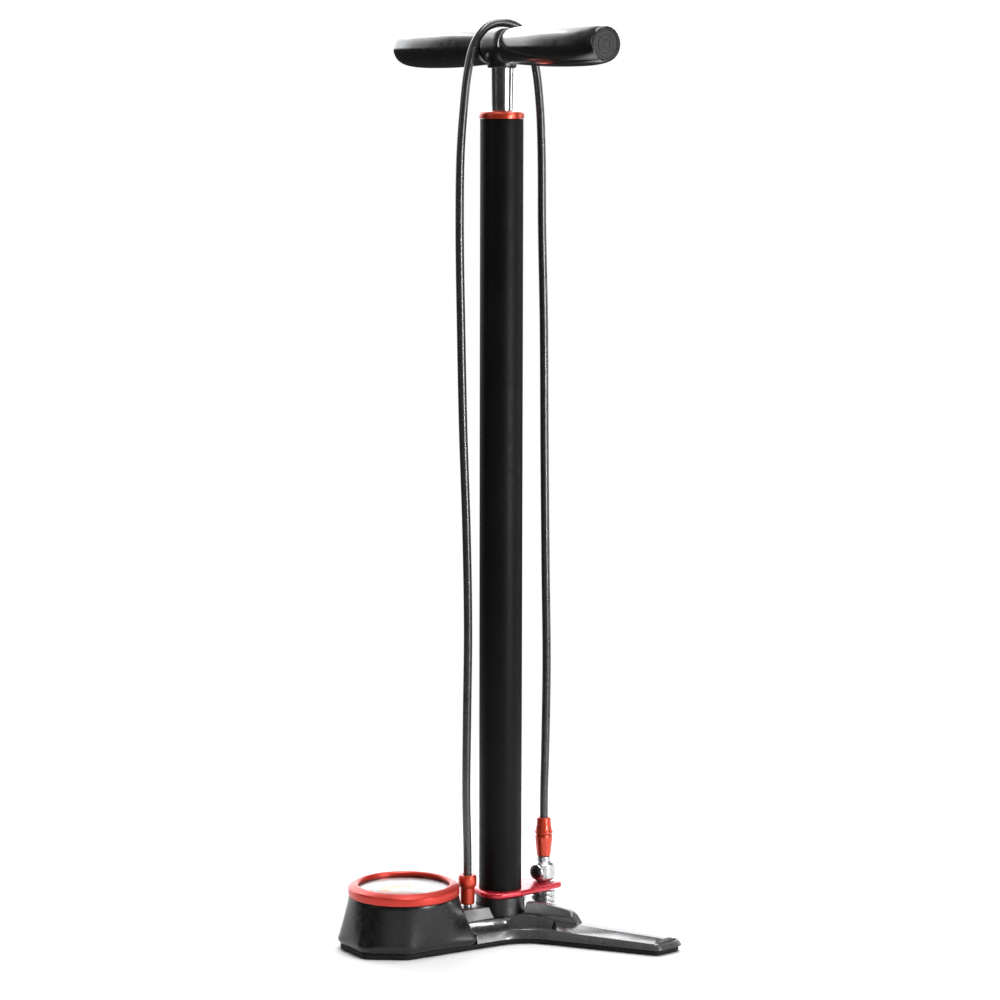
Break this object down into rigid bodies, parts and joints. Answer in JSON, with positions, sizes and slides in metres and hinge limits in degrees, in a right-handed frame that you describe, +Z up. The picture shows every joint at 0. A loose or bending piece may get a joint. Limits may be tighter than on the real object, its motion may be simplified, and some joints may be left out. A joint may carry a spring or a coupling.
{
  "type": "floor bike pump",
  "caption": "Upright floor pump for bicycle tyres, with a three-legged base, a pressure gauge, a cross handle, and a hose draped over the handle with its chuck parked in a bracket.",
  "frame": {"origin": "on the floor, on the axis of the barrel, at the middle of the three-legged sole", "axes": "+Z up along the barrel; the gauge lies towards -Y, the parked chuck towards +Y, and the handle runs along X"},
  "size_m": [0.2456, 0.2032, 0.6413],
  "materials": {
    "sole_rubber": "matt moulded rubber",
    "cast_grey": "satin dark grey metallic coat",
    "pod_charcoal": "semi-gloss charcoal moulding",
    "dial_white": "white printed face with grey numbers",
    "needle_black": "painted",
    "lens_clear": "clear polished",
    "pressed_steel": "pressed",
    "brass": "machined",
    "spring_steel": "plain",
    "seal_rubber": "moulded rubber",
    "barrel_black": "satin black powder coat, fine texture",
    "socket_black": "satin black",
    "anodised_red": "red anodised, satin",
    "bush_plastic": "acetal",
    "polished_rod": "polished",
    "silver_satin": "satin turned",
    "hose_rubber": "dark grey, satin",
    "hub_black": "semi-gloss black",
    "grip_black": "semi-gloss black",
    "cap_grey": "satin dark grey",
    "button_black": "satin black"
  },
  "bodies": {
    "base": {"base_sole": "sole_rubber", "base_casting": "cast_grey", "check_valve_seat": "brass", "check_valve_spring": "spring_steel", "gauge_pod": "pod_charcoal", "gauge_case": "pressed_steel", "gauge_movement": "brass", "gauge_bourdon_tube": "brass", "gauge_dial": "dial_white", "gauge_lens_seal": "seal_rubber", "gauge_lens": "lens_clear", "gauge_bezel": "anodised_red", "barrel_seal": "seal_rubber", "barrel_tube": "barrel_black", "barrel_socket": "socket_black", "barrel_cap": "anodised_red", "rod_guide_bush": "bush_plastic", "rod_wiper_seal": "seal_rubber", "chuck_bracket": "anodised_red", "hose_outlet_neck": "silver_satin", "hose_fitting": "anodised_red", "hose": "hose_rubber", "hose_end_ferrule": "anodised_red", "hose_coupler": "anodised_red"},
    "piston": {"piston_head": "silver_satin", "piston_seal": "seal_rubber", "piston_bolt": "spring_steel", "top_bumper": "seal_rubber"},
    "handle": {"piston_rod": "polished_rod", "handle_hub": "hub_black", "handle_bar": "spring_steel", "grip_right": "grip_black", "grip_left": "grip_black", "end_cap_right": "cap_grey", "end_cap_left": "cap_grey"},
    "needle": {"gauge_needle": "needle_black"},
    "poppet": {"check_valve_poppet": "seal_rubber"},
    "chuck": {"chuck_body": "silver_satin"},
    "collar": {"chuck_collar": "silver_satin", "chuck_seal": "seal_rubber"},
    "button": {"bleed_button": "button_black"}
  },
  "joints": [
    {"name": "piston_stroke", "type": "slide", "parent": "base", "child": "piston", "axis": [0, 0, 1], "range_m": [0, 0.44], "deforming": ["hose"]},
    {"name": "handle_turn", "type": "hinge", "parent": "piston", "child": "handle", "pos_m": [0, 0, 0.6], "axis": [0, 0, 1], "range_deg": [-45, 45]},
    {"name": "needle_turn", "type": "hinge", "parent": "base", "child": "needle", "pos_m": [0, -0.079, 0.037], "axis": [0, 0, -1], "range_deg": [0, 270], "stiffness_Nm_per_rad": 0.0004},
    {"name": "check_valve_lift", "type": "slide", "parent": "base", "child": "poppet", "axis": [0, 0, -1], "range_m": [0, 0.0008], "stiffness_N_per_m": 150, "deforming": ["check_valve_spring"]},
    {"name": "chuck_swivel", "type": "hinge", "parent": "base", "child": "chuck", "pos_m": [0, 0.0366, 0.04], "axis": [0, 0, 1], "continuous": true},
    {"name": "collar_turn", "type": "hinge", "parent": "chuck", "child": "collar", "pos_m": [0, 0.0366, 0.02], "axis": [0, 0, 1], "continuous": true},
    {"name": "bleed_press", "type": "slide", "parent": "chuck", "child": "button", "axis": [-0.309, 0.9511, 0], "range_m": [0, 0.0012], "stiffness_N_per_m": 500}
  ]
}
